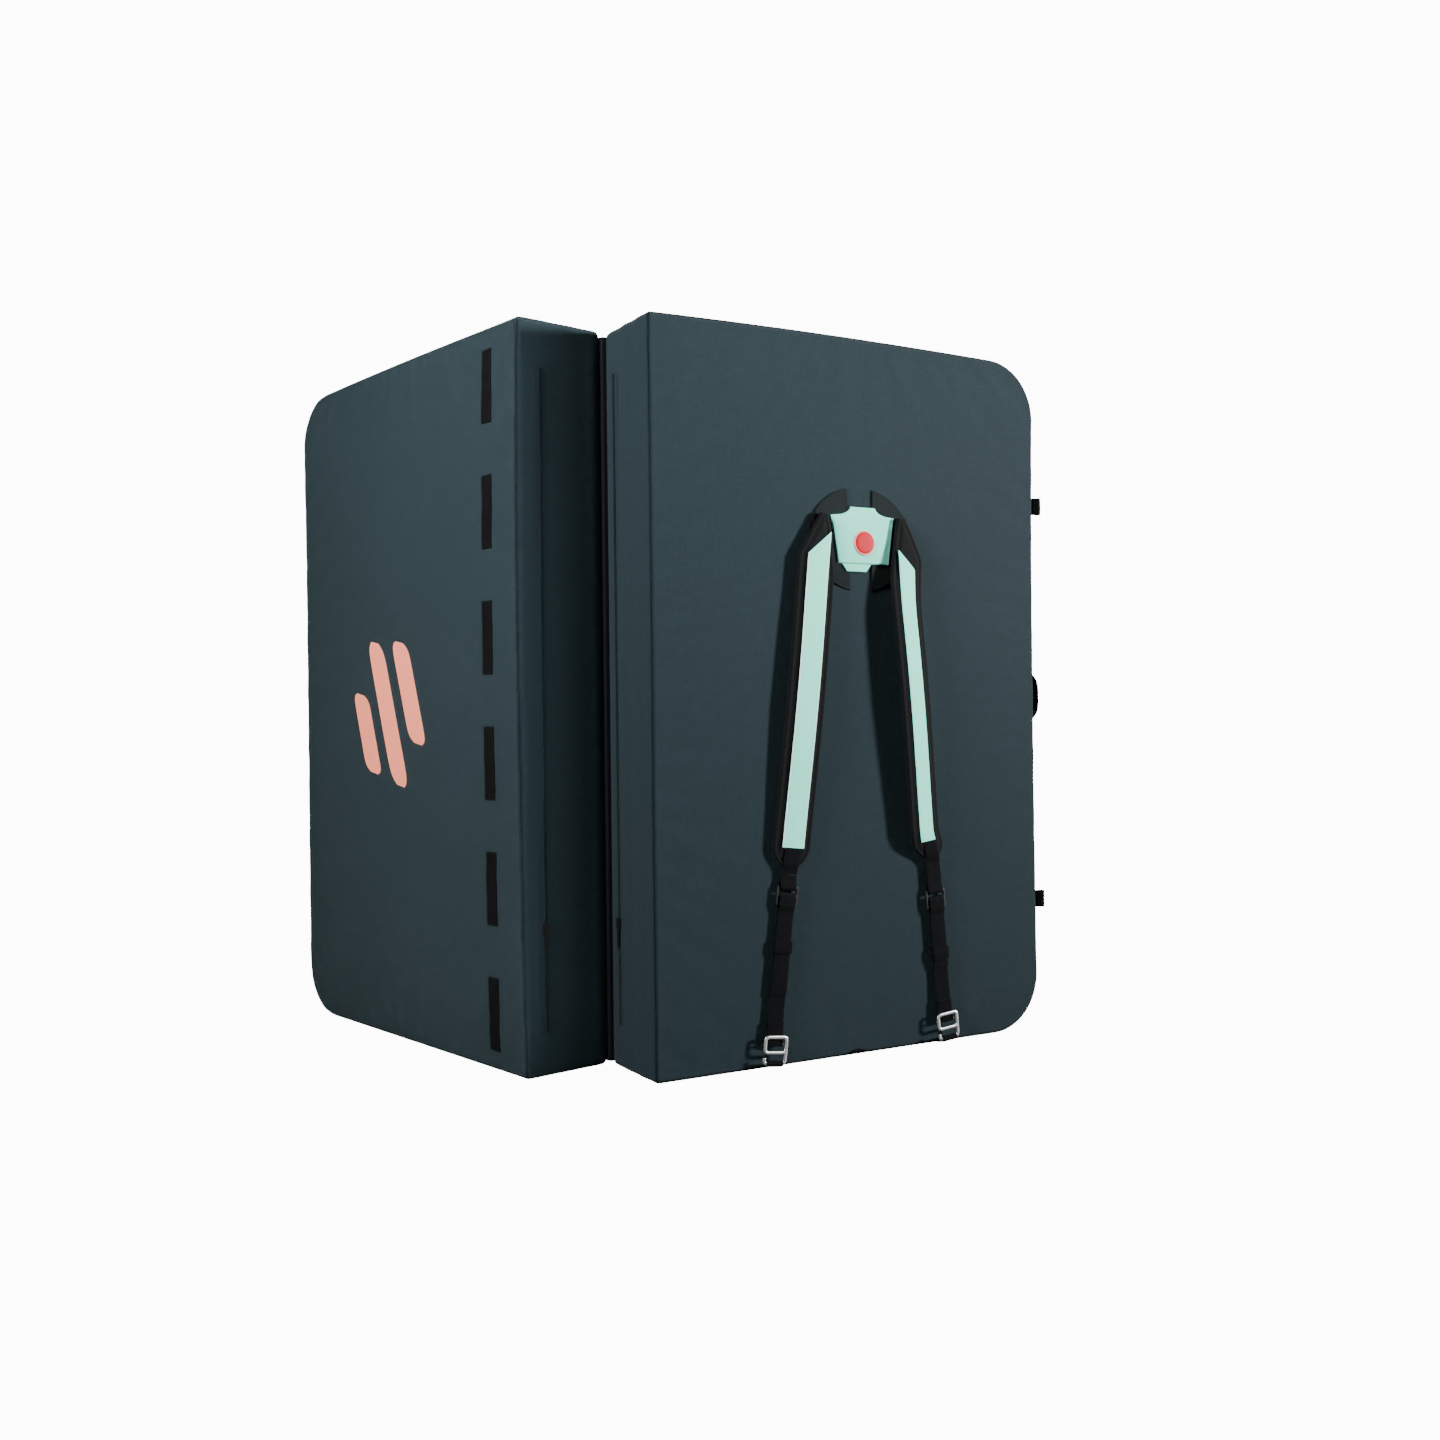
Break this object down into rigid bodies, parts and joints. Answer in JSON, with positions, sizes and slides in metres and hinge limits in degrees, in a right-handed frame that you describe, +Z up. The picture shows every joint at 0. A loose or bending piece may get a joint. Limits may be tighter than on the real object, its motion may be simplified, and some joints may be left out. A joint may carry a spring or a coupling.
{
  "type": "bouldering crash pad",
  "caption": "Folding bouldering crash pad: hinged foam panels in fabric covers, standing part folded, with a shoulder harness, hooks, loops and handles.",
  "frame": {"origin": "middle of the harness panel's foot wall, on the floor", "axes": "+Z up along the standing panels, -Y out of the harness panel's outer face, +X from the fold towards its free edge"},
  "size_m": [0.9223, 0.7958, 1],
  "materials": {
    "canvas": "fine blue-grey canvas",
    "landing_canvas": "hard-wearing dark canvas",
    "hinge_fabric": "dark canvas",
    "foam": "cut foam",
    "black_webbing": "ribbed webbing",
    "patch_fabric": "smooth reinforcement fabric",
    "mint_webbing": "pale green webbing",
    "badge_rubber": "moulded red",
    "hook_metal": "satin",
    "black_plastic": "moulded black"
  },
  "bodies": {
    "harness_panel": {"harness_cover": "canvas", "harness_landing_sheet": "landing_canvas", "harness_top_foam": "foam", "harness_core_foam": "foam", "harness_base_foam": "foam", "harness_zip_tape": "black_webbing", "harness_zip_coil": "black_plastic", "hinge_leaf_harness": "hinge_fabric", "patch_left": "patch_fabric", "patch_right": "patch_fabric", "yoke_plate": "mint_webbing", "yoke_tab": "mint_webbing", "badge": "badge_rubber", "left_strap_anchor": "patch_fabric", "right_strap_anchor": "patch_fabric", "left_hook_loop": "black_webbing", "right_hook_loop": "black_webbing", "lower_closure_loop": "black_webbing", "upper_closure_loop": "black_webbing", "carry_handle": "black_webbing", "haul_handle": "black_webbing"},
    "strip_panel": {"strip_cover": "canvas", "strip_landing_sheet": "landing_canvas", "strip_top_foam": "foam", "strip_core_foam": "foam", "strip_base_foam": "foam", "strip_zip_tape": "black_webbing", "strip_zip_coil": "black_plastic", "hinge_leaf_strip": "hinge_fabric", "hook_loop_strip_1": "black_webbing", "hook_loop_strip_2": "black_webbing", "hook_loop_strip_3": "black_webbing", "hook_loop_strip_4": "black_webbing", "hook_loop_strip_5": "black_webbing", "hook_loop_strip_6": "black_webbing", "lower_closure_tack": "black_webbing", "upper_closure_tack": "black_webbing"},
    "left_strap": {"left_strap_pad": "black_webbing", "left_strap_facing": "mint_webbing", "left_upper_webbing": "black_webbing", "left_ladder_lock": "black_plastic", "left_lower_webbing": "black_webbing", "left_keeper": "black_webbing", "left_g_hook": "hook_metal"},
    "right_strap": {"right_strap_pad": "black_webbing", "right_strap_facing": "mint_webbing", "right_upper_webbing": "black_webbing", "right_ladder_lock": "black_plastic", "right_lower_webbing": "black_webbing", "right_keeper": "black_webbing", "right_g_hook": "hook_metal"},
    "lower_closure": {"lower_closure_webbing": "black_webbing", "lower_closure_g_hook": "hook_metal"},
    "upper_closure": {"upper_closure_webbing": "black_webbing", "upper_closure_g_hook": "hook_metal"},
    "harness_slider": {"harness_zip_slider": "hook_metal"},
    "strip_slider": {"strip_zip_slider": "hook_metal"}
  },
  "joints": [
    {"name": "pad_fold", "type": "hinge", "parent": "harness_panel", "child": "strip_panel", "pos_m": [-0.328, 0.067, 0.5], "axis": [0, 0, 1], "range_deg": [-101.5, 78.5]},
    {"name": "left_strap_swing", "type": "hinge", "parent": "harness_panel", "child": "left_strap", "pos_m": [-0.071, -0.07967, 0.753], "axis": [-0.9938, 0, 0.1113], "range_deg": [0, 100]},
    {"name": "right_strap_swing", "type": "hinge", "parent": "harness_panel", "child": "right_strap", "pos_m": [0.07, -0.07967, 0.753], "axis": [-0.9954, 0, -0.0956], "range_deg": [0, 100]},
    {"name": "lower_closure_swing", "type": "hinge", "parent": "strip_panel", "child": "lower_closure", "pos_m": [-0.48959, 0.70071, 0.1945], "axis": [0, 0, -1], "range_deg": [0, 170]},
    {"name": "upper_closure_swing", "type": "hinge", "parent": "strip_panel", "child": "upper_closure", "pos_m": [-0.48953, 0.70043, 0.787], "axis": [0, 0, -1], "range_deg": [0, 170]},
    {"name": "harness_slider_slide", "type": "slide", "parent": "harness_panel", "child": "harness_slider", "axis": [0, 0, 1], "range_m": [-0.122, 0.73]},
    {"name": "strip_slider_slide", "type": "slide", "parent": "strip_panel", "child": "strip_slider", "axis": [0, 0, 1], "range_m": [-0.122, 0.73]}
  ]
}
